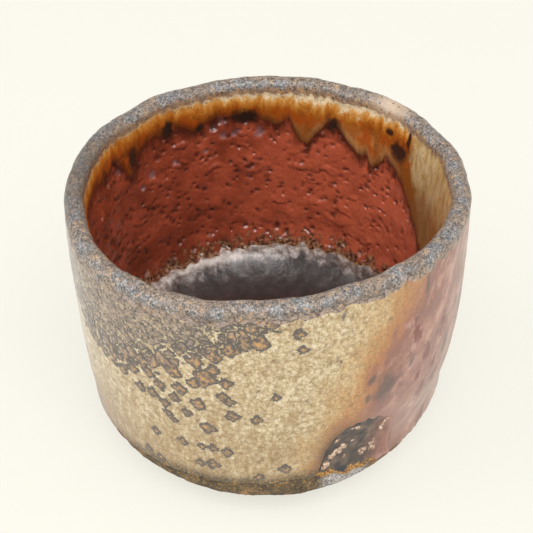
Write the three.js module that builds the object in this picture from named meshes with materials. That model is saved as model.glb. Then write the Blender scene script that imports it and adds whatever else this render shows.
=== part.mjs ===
// A small hand-built stoneware cup, fired with wood ash, without a handle.
//
// Three clay parts are luted together while soft: a base disc, a wall that stands round the
// disc's raised middle, and a foot ring let into a groove under the disc. Six coats are fused to
// them in the kiln: the lip coat, the outer glaze, the inner glaze, the ash runs that come down
// from the lip inside, the dark pool on the floor and a rough scar low on the wall.
//
// Millimetres, +Z up. The origin lies on the table, under the middle of the cup. Angles are
// degrees round +Z from +X, so the front of the cup, at -Y, is at -90.

import * as THREE from 'three';
import { mergeVertices } from 'three/addons/utils/BufferGeometryUtils.js';

// Size of the glazed cup
const CUP_HEIGHT = 56;
const RIM_RADIUS = 38.5;
const BASE_RADIUS = 35.1;
const WALL_BULGE = 0.7;

// Clay parts
const LIP_CLAY = 1.9;
const WALL_CLAY = 3.7;
const DISC_THICKNESS = 6.9;
const DISC_EDGE = 3;
const CLAY_CORNER = 6.1;
const INNER_FILLET = 13;
const HEEL_LAND = 1.5;

// Foot ring
const FOOT_HEIGHT = 3.6;
const FOOT_RADIUS = 24;
const FOOT_WIDTH = 5;
const FOOT_CHAMFER = 0.7;
const FOOT_GROOVE = 0.8;

// Coats, and the gap between neighbours that follow the same curve
const COAT = 0.6;
const FIT = 0.3;
const LIP_BAND_OUTSIDE = 3.6;
const LIP_BAND_INSIDE = 3;
const ASH_BAND = 7;
const POOL_RISE = 6.3;
const GLAZE_LINE = 9.6;

// Slow waves left by the hand: lobes round the cup, size, and the angle of one crest
const RIM_HEIGHT_WAVES = [
  { lobes: 1, size: 0.68, crest: -27 },
  { lobes: 2, size: 0.69, crest: -49 },
  { lobes: 3, size: 0.4, crest: 49 },
];
const RIM_PLAN_WAVES = [
  { lobes: 2, size: 0.32, crest: 50 },
  { lobes: 3, size: 0.11, crest: -34 },
];
const BASE_PLAN_WAVES = [
  { lobes: 1, size: 0.49, crest: 5 },
  { lobes: 2, size: 0.48, crest: -26 },
];
const LIP_EDGE_WAVES = [
  { lobes: 1, size: 1.1, crest: 40 },
  { lobes: 4, size: 0.3, crest: 10 },
];
const GLAZE_LINE_WAVES = [
  { lobes: 2, size: 0.5, crest: -110 },
  { lobes: 5, size: 0.4, crest: -95 },
];
const POOL_EDGE_WAVES = [
  { lobes: 2, size: 0.6, crest: 40 },
  { lobes: 5, size: 0.3, crest: 12 },
];

// Hollows pressed into the outside: where they lie, how deep and how far they reach
const THUMB_DENT = { angle: -37, height: 10, depth: 3, spread: 34, reach: 12 };
const SCAR_HOLLOW = { angle: -60, height: 16, depth: 0.8, spread: 12, reach: 6 };

// The scar: its outline rises from the glaze line to this height, lower towards its left side
const SCAR = { angle: -60, spread: 15, height: 24, lean: 0.25 };

// Tongues of molten ash inside: angle, run below the band, and half width in degrees. The widest is
// a curtain over the right of the wall.
const ASH_RUNS = [
  { angle: 159, run: 2, spread: 6 },
  { angle: 144, run: 5.5, spread: 6 },
  { angle: 115, run: 2.5, spread: 7 },
  { angle: 90, run: 2.5, spread: 12 },
  { angle: 75, run: 6, spread: 6 },
  { angle: 51, run: 8, spread: 9 },
  { angle: 5, run: 25, spread: 31 },
  { angle: -75, run: 4, spread: 9 },
  { angle: -110, run: 6, spread: 9 },
  { angle: -140, run: 4, spread: 8 },
  { angle: -168, run: 5, spread: 7 },
];

// Facets round the cup, shared by every piece so that neighbours run side by side
const SIDES = 60;
const SIDE_ANGLE = (2 * Math.PI) / SIDES;

// Finishes as fired
const CLAY = { color: 0x8d7a66, roughness: 0.9, metalness: 0 };
const LIP_COAT = { color: 0x7d7264, roughness: 0.7, metalness: 0 };
const ASH_GLAZE = { color: 0xd3c3a2, roughness: 0.35, metalness: 0 };
const IRON_RED = { color: 0x7c3520, roughness: 0.25, metalness: 0 };
const AMBER_ASH = { color: 0xb9803c, roughness: 0.3, metalness: 0 };
const DARK_POOL = { color: 0x4b423e, roughness: 0.2, metalness: 0.1 };
const SCORCH = { color: 0x3a322c, roughness: 0.85, metalness: 0 };

// Heights and thicknesses that follow from the sizes above
const SKIN = COAT + FIT;
const LIP_THICKNESS = LIP_CLAY + 2 * SKIN;
const LIP_RADIUS = LIP_THICKNESS / 2;
const WALL_THICKNESS = WALL_CLAY + 2 * SKIN;
const CORNER_RADIUS = CLAY_CORNER + SKIN;
const CORNER_TOP = FOOT_HEIGHT + CLAY_CORNER;
const SEAT = FOOT_HEIGHT + DISC_EDGE;
const DISC_TOP = FOOT_HEIGHT + DISC_THICKNESS;
const FLOOR = DISC_TOP + SKIN;
const FILLET_TOP = FLOOR + INNER_FILLET;

const radians = THREE.MathUtils.degToRad;
const mix = THREE.MathUtils.lerp;

// The signed turn from one angle to another, the short way round
function turnBetween(angle, other) {
  return Math.atan2(Math.sin(angle - other), Math.cos(angle - other));
}

// A smooth bump round an angle given in degrees: 1 at its middle, about a third one spread away
function bump(angle, middle, spread) {
  return Math.exp(-((turnBetween(angle, radians(middle)) / radians(spread)) ** 2));
}

function wave(angle, terms) {
  const part = (term) => term.size * Math.cos(term.lobes * (angle - radians(term.crest)));
  return terms.reduce((sum, term) => sum + part(term), 0);
}

function hollow(angle, height, press) {
  const fade = Math.exp(-(((height - press.height) / press.reach) ** 2));
  return press.depth * bump(angle, press.angle, press.spread) * fade;
}

// The thrown form, before the hollows are pressed in

function crownHeight(angle) {
  return CUP_HEIGHT + wave(angle, RIM_HEIGHT_WAVES);
}

// Height at which the straight wall ends and the half-round lip starts
function lipStart(angle) {
  return crownHeight(angle) - LIP_RADIUS;
}

// Share of the way up the wall, 0 at the top of the lower corner and 1 where the lip starts
function wallShare(angle, height) {
  return (height - CORNER_TOP) / (lipStart(angle) - CORNER_TOP);
}

// The wall widens from base to rim and swells a little between them
function thrownRadius(angle, height) {
  const share = wallShare(angle, height);
  const base = BASE_RADIUS + wave(angle, BASE_PLAN_WAVES);
  const rim = RIM_RADIUS + wave(angle, RIM_PLAN_WAVES);
  return mix(base, rim, share) + WALL_BULGE * Math.sin(Math.PI * share);
}

// A point outside, some depth under the glazed skin: the wall, then the round lower corner
function outsidePoint(angle, height, depth) {
  const pressed = hollow(angle, height, THUMB_DENT) + hollow(angle, height, SCAR_HOLLOW);
  if (height >= CORNER_TOP) {
    return [thrownRadius(angle, height) - pressed - depth, height];
  }
  const turn = Math.asin(Math.min((CORNER_TOP - height) / CORNER_RADIUS, 1));
  const middle = thrownRadius(angle, CORNER_TOP) - CORNER_RADIUS - pressed;
  const radius = CORNER_RADIUS - depth;
  return [middle + radius * Math.cos(turn), CORNER_TOP - radius * Math.sin(turn)];
}

// The skin height that lies over a given height of the clay
function skinOverClay(height) {
  const reach = (CORNER_TOP - height) * (CORNER_RADIUS / CLAY_CORNER);
  return height < CORNER_TOP ? CORNER_TOP - reach : height;
}

// The middle of the fillet between the inner wall and the floor, as a radius
function filletMiddle(angle) {
  const share = wallShare(angle, FILLET_TOP);
  const thickness = mix(WALL_THICKNESS, LIP_THICKNESS, share);
  return thrownRadius(angle, FILLET_TOP) - thickness - INNER_FILLET;
}

// A point inside, some depth under the glazed skin: the wall, then the fillet down to the floor
function insidePoint(angle, height, depth) {
  if (height >= FILLET_TOP) {
    const thickness = mix(WALL_THICKNESS, LIP_THICKNESS, wallShare(angle, height));
    return [thrownRadius(angle, height) - thickness + depth, height];
  }
  const turn = Math.asin(Math.min((FILLET_TOP - height) / INNER_FILLET, 1));
  const radius = INNER_FILLET + depth;
  return [filletMiddle(angle) + radius * Math.cos(turn), FILLET_TOP - radius * Math.sin(turn)];
}

// A point on the half-round lip: turn 0 is its outside and half a turn its inside
function lipPoint(angle, turn, depth) {
  const middle = thrownRadius(angle, lipStart(angle)) - LIP_RADIUS;
  const radius = LIP_RADIUS - depth;
  return [middle + radius * Math.cos(turn), lipStart(angle) + radius * Math.sin(turn)];
}

// Where the coats end

function lipEdgeOutside(angle) {
  return crownHeight(angle) - LIP_BAND_OUTSIDE + wave(angle, LIP_EDGE_WAVES);
}

function lipEdgeInside(angle) {
  return crownHeight(angle) - LIP_BAND_INSIDE;
}

function ashEdge(angle) {
  const runs = ASH_RUNS.map((tongue) => tongue.run * bump(angle, tongue.angle, tongue.spread));
  return crownHeight(angle) - ASH_BAND - Math.max(...runs);
}

function poolEdge(angle) {
  return FLOOR + POOL_RISE + wave(angle, POOL_EDGE_WAVES);
}

function glazeLine(angle) {
  return GLAZE_LINE + wave(angle, GLAZE_LINE_WAVES);
}

// The scar's upper outline: a steep hump that leans down towards its left
function scarEdge(angle) {
  const away = turnBetween(angle, radians(SCAR.angle)) / radians(SCAR.spread);
  const hump = Math.exp(-(away ** 4)) * (1 - SCAR.lean * Math.max(-away, 0));
  return glazeLine(angle) + (SCAR.height - GLAZE_LINE) * hump;
}

// Solids

// Evenly spaced values from one end to the other, both included
function spaced(from, to, count) {
  return Array.from({ length: count }, (_, i) => mix(from, to, i / (count - 1)));
}

// Turns a section into a ring or disc. The section is worked out afresh at every angle, so the
// ring follows the hand-made form. It runs up its outside and comes back down its inside.
function turned(sectionAt) {
  const first = sectionAt(-Math.PI / 2);
  const geometry = new THREE.LatheGeometry(first.map(([r, z]) => new THREE.Vector2(r, z)), SIDES);
  const position = geometry.getAttribute('position');
  for (let side = 0; side <= SIDES; side += 1) {
    const angle = (side % SIDES) * SIDE_ANGLE - Math.PI / 2;
    sectionAt(angle).forEach(([radius, height], i) => {
      const vertex = side * first.length + i;
      position.setXYZ(vertex, radius * Math.cos(angle), radius * Math.sin(angle), height);
    });
  }
  return geometry;
}

// A coat on a surface: up the face that shows and back down the face against the clay
function coatSection(pointAt, angle, low, high, rows) {
  const heights = spaced(low, high, rows);
  const shown = heights.map((height) => pointAt(angle, height, 0));
  const hidden = heights.map((height) => pointAt(angle, height, COAT)).reverse();
  return [...shown, ...hidden, shown[0]];
}

function finished(name, geometry, finish) {
  const bare = geometry.clone();
  bare.deleteAttribute('normal');
  bare.deleteAttribute('uv');
  const solid = mergeVertices(bare);
  solid.computeVertexNormals();
  const mesh = new THREE.Mesh(solid, new THREE.MeshStandardMaterial(finish));
  mesh.name = name;
  return mesh;
}

// Foot ring: its top sits in the groove, and its worn underside stands on the table
function footRing() {
  const inner = FOOT_RADIUS - FOOT_WIDTH;
  const top = FOOT_HEIGHT + FOOT_GROOVE;
  const section = [
    [inner + FOOT_CHAMFER, 0],
    [FOOT_RADIUS - FOOT_CHAMFER, 0],
    [FOOT_RADIUS, FOOT_CHAMFER],
    [FOOT_RADIUS, top],
    [inner, top],
    [inner, FOOT_CHAMFER],
    [inner + FOOT_CHAMFER, 0],
  ];
  return finished('foot_ring', turned(() => section), CLAY);
}

// Base disc: groove for the foot ring below, a seat for the wall and a raised middle above
function baseDisc() {
  const cornerRows = 5;
  const grooveTop = FOOT_HEIGHT + FOOT_GROOVE;
  const grooveInner = FOOT_RADIUS - FOOT_WIDTH - FIT;
  const grooveOuter = FOOT_RADIUS + FIT;
  const sectionAt = (angle) => {
    const heights = spaced(FOOT_HEIGHT, SEAT, cornerRows).map(skinOverClay);
    const corner = heights.map((height) => outsidePoint(angle, height, SKIN));
    const middle = filletMiddle(angle) - HEEL_LAND - FIT;
    return [
      [0, FOOT_HEIGHT],
      [grooveInner, FOOT_HEIGHT],
      [grooveInner, grooveTop],
      [grooveOuter, grooveTop],
      [grooveOuter, FOOT_HEIGHT],
      ...corner,
      [middle, SEAT],
      [middle, DISC_TOP],
      [0, DISC_TOP],
    ];
  };
  return finished('clay_base_disc', turned(sectionAt), CLAY);
}

// Wall: stands on the disc's seat, with a heel that fills the corner round the raised middle
function clayWall() {
  const outerRows = 8;
  const lipRows = 6;
  const innerRows = 5;
  const filletRows = 5;
  const sectionAt = (angle) => {
    const outside = spaced(skinOverClay(SEAT), lipStart(angle), outerRows);
    const lip = spaced(0, Math.PI, lipRows).slice(1, -1);
    const inside = spaced(lipStart(angle), FILLET_TOP, innerRows);
    const fillet = spaced(0, Math.PI / 2, filletRows).slice(1);
    const land = filletMiddle(angle) - HEEL_LAND;
    const outline = [
      ...outside.map((height) => outsidePoint(angle, height, SKIN)),
      ...lip.map((turn) => lipPoint(angle, turn, SKIN)),
      ...inside.map((height) => insidePoint(angle, height, SKIN)),
      ...fillet.map((turn) => insidePoint(angle, FILLET_TOP - INNER_FILLET * Math.sin(turn), SKIN)),
      [land, DISC_TOP],
      [land, SEAT],
    ];
    return [...outline, outline[0]];
  };
  return finished('clay_wall', turned(sectionAt), CLAY);
}

// Lip coat: over the crown, from a wavy edge outside to the start of the ash runs inside
function lipCoat() {
  const wallRows = 3;
  const lipRows = 7;
  const sectionAt = (angle) => {
    const faceAt = (depth) => [
      ...spaced(lipEdgeOutside(angle), lipStart(angle), wallRows)
        .map((height) => outsidePoint(angle, height, depth)),
      ...spaced(0, Math.PI, lipRows).slice(1, -1).map((turn) => lipPoint(angle, turn, depth)),
      ...spaced(lipStart(angle), lipEdgeInside(angle), wallRows)
        .map((height) => insidePoint(angle, height, depth)),
    ];
    const outline = [...faceAt(0), ...faceAt(COAT).reverse()];
    return [...outline, outline[0]];
  };
  return finished('lip_coat', turned(sectionAt), LIP_COAT);
}

// Outer glaze: from the lip coat down to its own running edge, and clear of the scar
function outerGlaze() {
  const rows = 9;
  const sectionAt = (angle) => coatSection(
    outsidePoint,
    angle,
    scarEdge(angle) + FIT,
    lipEdgeOutside(angle) - FIT,
    rows,
  );
  return finished('outer_glaze', turned(sectionAt), ASH_GLAZE);
}

// Inside coats: their shown face looks to the axis, so the section is turned round
function insideCoat(name, lowAt, highAt, rows, finish) {
  const sectionAt = (angle) => {
    return coatSection(insidePoint, angle, lowAt(angle), highAt(angle), rows).reverse();
  };
  return finished(name, turned(sectionAt), finish);
}

function ashRuns() {
  const rows = 4;
  return insideCoat('ash_runs', ashEdge, (angle) => lipEdgeInside(angle) - FIT, rows, AMBER_ASH);
}

function innerGlaze() {
  const rows = 7;
  const low = (angle) => poolEdge(angle) + FIT;
  return insideCoat('inner_glaze', low, (angle) => ashEdge(angle) - FIT, rows, IRON_RED);
}

// Pool: the dark glaze that gathers on the floor and climbs part of the fillet
function floorPool() {
  const rows = 5;
  const sectionAt = (angle) => {
    const edge = Math.asin((FILLET_TOP - poolEdge(angle)) / INNER_FILLET);
    const heights = spaced(Math.PI / 2, edge, rows)
      .map((turn) => FILLET_TOP - INNER_FILLET * Math.sin(turn));
    const shown = heights.map((height) => insidePoint(angle, height, 0));
    const hidden = heights.map((height) => insidePoint(angle, height, COAT));
    return [[0, FLOOR - COAT], ...hidden, ...shown.reverse(), [0, FLOOR]];
  };
  return finished('floor_pool', turned(sectionAt), DARK_POOL);
}

// Scar: a rough scorched patch that fills the notch in the outer glaze. It is a block bent on to
// the wall. Its columns lie on the same facets as the glaze round it, and reach to where the notch
// runs out.
function scarPatch() {
  const rows = 5;
  const columns = 2 * Math.ceil(radians(SCAR.spread) / SIDE_ANGLE);
  const middle = Math.round(radians(SCAR.angle) / SIDE_ANGLE);
  const geometry = new THREE.BoxGeometry(1, 1, 1, columns, rows, 1);
  const position = geometry.getAttribute('position');
  for (let i = 0; i < position.count; i += 1) {
    const angle = (middle + Math.round(position.getX(i) * columns)) * SIDE_ANGLE;
    const height = mix(glazeLine(angle), scarEdge(angle), position.getY(i) + 0.5);
    const depth = position.getZ(i) > 0 ? 0 : COAT;
    const [radius, z] = outsidePoint(angle, height, depth);
    position.setXYZ(i, radius * Math.cos(angle), radius * Math.sin(angle), z);
  }
  return finished('kiln_scar', geometry, SCORCH);
}

const cup = new THREE.Group();
cup.add(footRing(), baseDisc(), clayWall());
cup.add(lipCoat(), outerGlaze(), innerGlaze(), ashRuns(), floorPool(), scarPatch());

export default cup;
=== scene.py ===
# %% [markdown]
# # A wood-fired stoneware cup
#
# The object is a small handleless cup: three clay parts luted together, and six coats that melted
# on to them in the kiln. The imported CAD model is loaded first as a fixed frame. Each of its nine
# pieces is then made again here as a fine surface, because a wood-fired skin is all detail: pits,
# runs, spots and grain that facets can't hold.

# %% Load the frame
from functools import partial

import bpy
import numpy as np
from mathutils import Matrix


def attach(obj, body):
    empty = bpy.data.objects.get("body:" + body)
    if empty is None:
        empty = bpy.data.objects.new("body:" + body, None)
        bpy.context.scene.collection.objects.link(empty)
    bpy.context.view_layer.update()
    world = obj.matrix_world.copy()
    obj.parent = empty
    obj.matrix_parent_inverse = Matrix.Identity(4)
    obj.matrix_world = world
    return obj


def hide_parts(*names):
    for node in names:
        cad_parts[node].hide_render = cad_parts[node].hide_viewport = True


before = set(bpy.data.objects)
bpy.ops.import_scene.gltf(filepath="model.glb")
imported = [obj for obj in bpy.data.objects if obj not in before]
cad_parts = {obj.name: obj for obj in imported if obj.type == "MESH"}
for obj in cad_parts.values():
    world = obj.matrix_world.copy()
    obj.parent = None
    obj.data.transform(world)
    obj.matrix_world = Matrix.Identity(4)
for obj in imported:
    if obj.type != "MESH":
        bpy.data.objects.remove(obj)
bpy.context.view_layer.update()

# %% [markdown]
# ## The hand-made form
#
# A potter's wheel gives a round section, and the hand then leaves slow waves in it. So the form is a
# profile that is worked out afresh at every angle. The sizes repeat those of the CAD model, in
# millimetres, and angles run from +X through +Y, so the front of the cup is at -90 degrees.

# %% Sizes of the cup
MM = 0.001
CUP_HEIGHT = 56.0
RIM_RADIUS = 38.5
BASE_RADIUS = 35.1
WALL_BULGE = 0.7
LIP_THICKNESS = 3.7
WALL_THICKNESS = 5.5
# Thickness of a coat, and how deep the clay lies under the skin
COAT = 0.6
SKIN = 0.9
CORNER_RADIUS = 7.0
CORNER_TOP = 9.7
FLOOR = 11.4
INNER_FILLET = 13.0
FILLET_TOP = FLOOR + INNER_FILLET
LIP_RADIUS = LIP_THICKNESS / 2
COLUMNS = 720
# The thumb dent and the scar's hollow: angle, height, depth, spread in degrees and reach in mm
HOLLOWS = ((-37, 10.0, 3.0, 34, 12.0), (-60, 16.0, 0.8, 12, 6.0))

angle = np.linspace(-np.pi, np.pi, COLUMNS, endpoint=False)


def away_from(angle, middle):
    """The signed angle from a middle, given in degrees, taken the short way round."""
    return np.angle(np.exp(1j * (angle - np.radians(middle))))


def hump(distance, reach):
    """e to the power of minus the square of (distance over reach): 1 in the middle, fading both ways."""
    return np.exp(-(distance / reach) ** 2)


def bump(angle, middle, spread):
    """A hump round the cup, with its middle and spread in degrees."""
    return hump(away_from(angle, middle), np.radians(spread))


def wave(angle, *terms):
    """The sum, over terms of (lobes, size, crest), of size times cos(lobes times angle from crest)."""
    return sum(size * np.cos(lobes * (angle - np.radians(crest))) for lobes, size, crest in terms)


def ragged(angle, size, first, last, seed):
    """A sum of cosines with first to last lobes round the cup, each with a random crest, scaled so
    that it strays from zero by about the given size."""
    lobes = np.arange(first, last + 1)
    crest = np.random.default_rng(seed).uniform(0, 2 * np.pi, lobes.size)
    total = np.cos(angle[..., None] * lobes + crest).sum(-1)
    return size * total / np.sqrt(lobes.size / 2)


def smooth(low, high, value):
    """0 below low, 1 above high, and 3 t squared minus 2 t cubed of the share t between them."""
    share = np.clip((value - low) / (high - low), 0, 1)
    return share * share * (3 - 2 * share)


# %% Profile of the wall
def crown(angle):
    """Height of the lip's crown: slow waves with a fine unevenness on top."""
    slow = wave(angle, (1, 0.68, -27), (2, 0.69, -49), (3, 0.4, 49))
    return CUP_HEIGHT + slow + ragged(angle, 0.13, 7, 24, seed=3)


def lip_start(angle):
    """Height at which the wall ends and the half-round lip starts."""
    return crown(angle) - LIP_RADIUS


def up_the_wall(angle, height):
    """Share of the way up the wall, 0 at the lower corner and 1 where the lip starts."""
    return (height - CORNER_TOP) / (lip_start(angle) - CORNER_TOP)


def thrown(angle, height):
    """Radius of the wall: a straight taper from base to rim, plus a half sine wave of bulge."""
    share = up_the_wall(angle, height)
    base = BASE_RADIUS + wave(angle, (1, 0.49, 5), (2, 0.48, -26))
    rim = RIM_RADIUS + wave(angle, (2, 0.32, 50), (3, 0.11, -34)) + ragged(angle, 0.1, 6, 20, seed=8)
    return base + (rim - base) * share + WALL_BULGE * np.sin(np.pi * share)


def pressed(angle, height):
    """Depth of the broad thumb dent and of the scar's hollow, each a bump in angle and height."""
    return sum(depth * bump(angle, middle, spread) * hump(height - level, reach)
               for middle, level, depth, spread, reach in HOLLOWS)


def outside(angle, height, depth=0.0):
    """Radius and height of the outside, some depth under its skin: the wall above the lower corner,
    and below it a quarter circle whose turn has sine (corner top - height) / corner radius."""
    turn = np.arcsin(np.clip((CORNER_TOP - height) / CORNER_RADIUS, 0, 1))
    middle = thrown(angle, np.maximum(height, CORNER_TOP)) - CORNER_RADIUS - pressed(angle, height)
    level = np.where(height > CORNER_TOP, height, CORNER_TOP - (CORNER_RADIUS - depth) * np.sin(turn))
    return middle + (CORNER_RADIUS - depth) * np.cos(turn), level


def inner_wall(angle, height):
    """Radius of the inner skin where the wall is straight: the outside less the wall's thickness."""
    share = up_the_wall(angle, height)
    return thrown(angle, height) - WALL_THICKNESS - (LIP_THICKNESS - WALL_THICKNESS) * share


def inside(angle, height, depth=0.0):
    """Radius and height of the inside: the wall, and below it a fillet that ends level on the floor."""
    turn = np.arcsin(np.clip((FILLET_TOP - height) / INNER_FILLET, 0, 1))
    middle = inner_wall(angle, np.maximum(height, FILLET_TOP)) - INNER_FILLET
    level = np.where(height > FILLET_TOP, height, FILLET_TOP - (INNER_FILLET + depth) * np.sin(turn))
    return middle + (INNER_FILLET + depth) * np.cos(turn), level


def over_lip(angle, turn, depth=0.0):
    """Radius and height on the half-round lip: turn 0 is its inside and half a turn its outside."""
    middle = thrown(angle, lip_start(angle)) - LIP_RADIUS
    radius = LIP_RADIUS - depth
    return middle - radius * np.cos(turn), lip_start(angle) + radius * np.sin(turn)


print("Crown of the lip, mm:", crown(angle).min().round(2), "to", crown(angle).max().round(2))

# %% [markdown]
# ## Where each coat ends
#
# Molten ash runs, so no coat ends on a level line. The edge between two coats is a curve round the
# cup: a plain height, slow waves, tongues where the ash ran furthest, and a ragged part. Each coat
# can then fill the band between two curves, and neighbours share the curve, so no gap shows.

# %% Edges of the coats
ASH_BAND = 7.0
LIP_BAND_OUTSIDE = 3.0
LIP_BAND_INSIDE = 2.6
GLAZE_LINE = 9.9
SEAT_SKIN = 6.2
ASH_TONGUES = (
    (159, 2.0, 4), (144, 5.5, 4.5), (128, 0.8, 4), (115, 2.4, 4), (98, 1.2, 4), (87, 2.6, 6),
    (76.5, 7.0, 5.2), (67, 1.5, 3), (56, 6.6, 8), (50.5, 8.4, 5.5), (40, 5.0, 3), (5, 25.0, 31),
    (-75, 4.0, 8), (-110, 6.0, 8), (-140, 4.0, 7), (-168, 5.0, 6),
)


def ash_edge(angle):
    """Lower edge of the ash runs: the band under the crown, less the longest tongue at that angle."""
    tongues = [run * bump(angle, middle, spread) for middle, run, spread in ASH_TONGUES]
    return crown(angle) - ASH_BAND - np.max(tongues, axis=0) + ragged(angle, 0.18, 30, 90, seed=5)


def pool_edge(angle):
    """Edge of the dark pool on the fillet: a level, two slow waves and a ragged part."""
    return FLOOR + 6.3 + wave(angle, (2, 0.6, 40), (5, 0.3, 12)) + ragged(angle, 0.25, 20, 70, seed=6)


def lip_edge_inside(angle):
    """Where the lip's crust gives way to the ash runs."""
    return crown(angle) - LIP_BAND_INSIDE + ragged(angle, 0.2, 20, 150, seed=7)


def lip_edge_outside(angle):
    """Where the lip's crust gives way to the outer glaze: deeper at the left than at the right."""
    slow = wave(angle, (1, 0.9, 40), (4, 0.25, 10))
    return crown(angle) - LIP_BAND_OUTSIDE + slow + ragged(angle, 0.25, 15, 80, seed=9)


def glaze_line(angle):
    """The running lower edge of the outer glaze: above the rounded corner in front, and lower on the
    flame side and at the left."""
    slow = 1.2 * bump(angle, -77, 9) - 2.6 * bump(angle, -30, 26) - 1.6 * bump(angle, -165, 22)
    return GLAZE_LINE + slow + wave(angle, (5, 0.25, -95)) + ragged(angle, 0.2, 12, 60, seed=10)


SCAR_TOP = (
    (-74.2, 10.5), (-73, 14), (-72, 18.2), (-70, 21), (-66.4, 23.3), (-63, 24), (-58.6, 23.8),
    (-53.8, 22.8), (-48.6, 21), (-46.4, 18), (-45, 13), (-44, 8),
)
SCAR_FOOT = ((-50, 8.6), (-54, 8.9), (-62.8, 10), (-69.5, 11))


def scar_edge(angle):
    """The glaze line, raised over the kiln scar to the straight pieces of the scar's outline."""
    turns, heights = np.transpose(SCAR_TOP)
    lifted = np.interp(np.degrees(angle), turns, heights, left=0, right=0)
    return np.maximum(glaze_line(angle), lifted + ragged(angle, 0.2, 40, 110, seed=11))


print("Ash runs reach down to", ash_edge(angle).min().round(1), "mm above the table")

# %% [markdown]
# ## One skin for the whole cup
#
# All coats lie on one continuous skin. It is a grid: columns go round the cup, and rows go from the
# middle of the floor up the inside, over the lip, down the outside and under. Each coat takes a band
# of rows. One grid keeps the relief and the shading unbroken from coat to coat.

# %% Rows of the skin
POOL_ROWS, RED_ROWS, ASH_ROWS, LIP_ROWS, OUTER_ROWS = 60, 120, 50, 64, 124
BARE_ROWS, CORNER_ROWS = 16, 40
FOOT_HEIGHT = 3.6
FOOT_RADIUS = 24.0
FIT = 0.3


def steps(count):
    """A column of evenly spaced shares from 0 to 1."""
    return np.linspace(0, 1, count)[:, None]


def pool_rows():
    """Along the floor from near the axis, then up the fillet by arc length to the pool's edge."""
    flat = inner_wall(angle, FILLET_TOP) - INNER_FILLET
    climb = np.pi / 2 - np.arcsin((FILLET_TOP - pool_edge(angle)) / INNER_FILLET)
    start = 0.01
    length = (start + (1 - start) * steps(POOL_ROWS)) * (flat + INNER_FILLET * climb)
    turn = np.pi / 2 - np.maximum(length - flat, 0) / INNER_FILLET
    radius = np.minimum(length, flat) + INNER_FILLET * np.cos(turn)
    return radius, FILLET_TOP - INNER_FILLET * np.sin(turn)


def lip_rows():
    """By arc length: up the inner face, half round the lip, and down the outer face."""
    rise = lip_start(angle) - lip_edge_inside(angle)
    fall = lip_start(angle) - lip_edge_outside(angle)
    length = steps(LIP_ROWS) * (rise + np.pi * LIP_RADIUS + fall)
    turn = np.clip((length - rise) / LIP_RADIUS, 0, np.pi)
    below = np.maximum(rise - length, 0) + np.maximum(length - rise - np.pi * LIP_RADIUS, 0)
    radius, height = over_lip(angle, turn)
    inner = inside(angle, lip_start(angle) - below)[0]
    outer = outside(angle, lip_start(angle) - below)[0]
    radius = np.where(length < rise, inner, np.where(turn >= np.pi, outer, radius))
    return radius, height - below


def between(curve, low, high, rows):
    """Evenly spaced heights from one edge to another, on the inside or the outside."""
    return curve(angle, low(angle) + (high(angle) - low(angle)) * steps(rows))


def corner_rows():
    """From the wall's seat round the lower corner, which takes two thirds of the rows, then level under
    the disc to the foot ring."""
    start = np.arcsin((CORNER_TOP - SEAT_SKIN) / CORNER_RADIUS)
    bend = steps(CORNER_ROWS) * 1.5
    turn = start + (np.pi / 2 - start) * np.minimum(bend, 1)
    radius, height = outside(angle, CORNER_TOP - CORNER_RADIUS * np.sin(turn))
    flat = np.maximum(bend - 1, 0) * 2
    return radius + (FOOT_RADIUS + FIT - radius) * flat, height + 0 * angle


def seat(angle):
    """The level edge at which the wall's skin ends."""
    return SEAT_SKIN + 0 * angle


coats = {
    "floor_pool": pool_rows(),
    "inner_glaze": between(inside, pool_edge, ash_edge, RED_ROWS),
    "ash_runs": between(inside, ash_edge, lip_edge_inside, ASH_ROWS),
    "lip_coat": lip_rows(),
    "outer_glaze": between(outside, lip_edge_outside, scar_edge, OUTER_ROWS),
    "clay_wall": between(outside, scar_edge, seat, BARE_ROWS),
    "clay_base_disc": corner_rows(),
}
last_rows = np.cumsum([len(radius) - 1 for radius, height in coats.values()])
bands = {name: slice(last - len(radius) + 1, last + 1)
         for (name, (radius, height)), last in zip(coats.items(), last_rows)}
profile = [np.concatenate([rows[part][1 if i else 0:] for i, rows in enumerate(coats.values())])
           for part in (0, 1)]


def placed(radius, height, angle=angle):
    """Points from radius, height and angle: x is radius cos angle, y radius sin angle, z height."""
    return np.stack([radius * np.cos(angle), radius * np.sin(angle), height + 0 * angle], -1)


def facing(grid, loop=True):
    """Unit normals: the step to the next row crossed with the step to the next column. In a loop the
    last column is beside the first."""
    along = np.gradient(grid, axis=0)
    across = np.roll(grid, -1, axis=1) - np.roll(grid, 1, axis=1) if loop else np.gradient(grid, axis=1)
    normal = np.cross(along, across)
    return normal / np.linalg.norm(normal, axis=-1, keepdims=True)


skin = placed(*profile)
skin_normal = facing(skin)
print("Skin grid:", skin.shape[0], "rows by", skin.shape[1], "columns")

# %% [markdown]
# ## Noise for a fired surface
#
# Two kinds of chance shape this surface. Clouds are smooth lumps: random numbers at the corners of
# small cubes, blended between the corners. Seeds are single points, one to a cube, and the distance
# to the nearest one gives pinholes. Both are read at points in space, so they have no seam.

# %% Clouds and seeds
def scrambled(corner, seed):
    """A repeatable number from 0 to 1 for each whole-number corner: its three counts are multiplied
    by large odd numbers, joined bit by bit and mixed."""
    mixed = (corner * np.array([73856093, 19349663, 83492791])).astype(np.int64)
    bits = mixed[..., 0] ^ mixed[..., 1] ^ mixed[..., 2] ^ (seed * 40503077)
    for shift in (15, 12):
        bits = ((bits ^ (bits >> shift)) * 2246822519) & 0xFFFFFFFF
    return ((bits ^ (bits >> 16)) & 0xFFFF) / 65535


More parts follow.
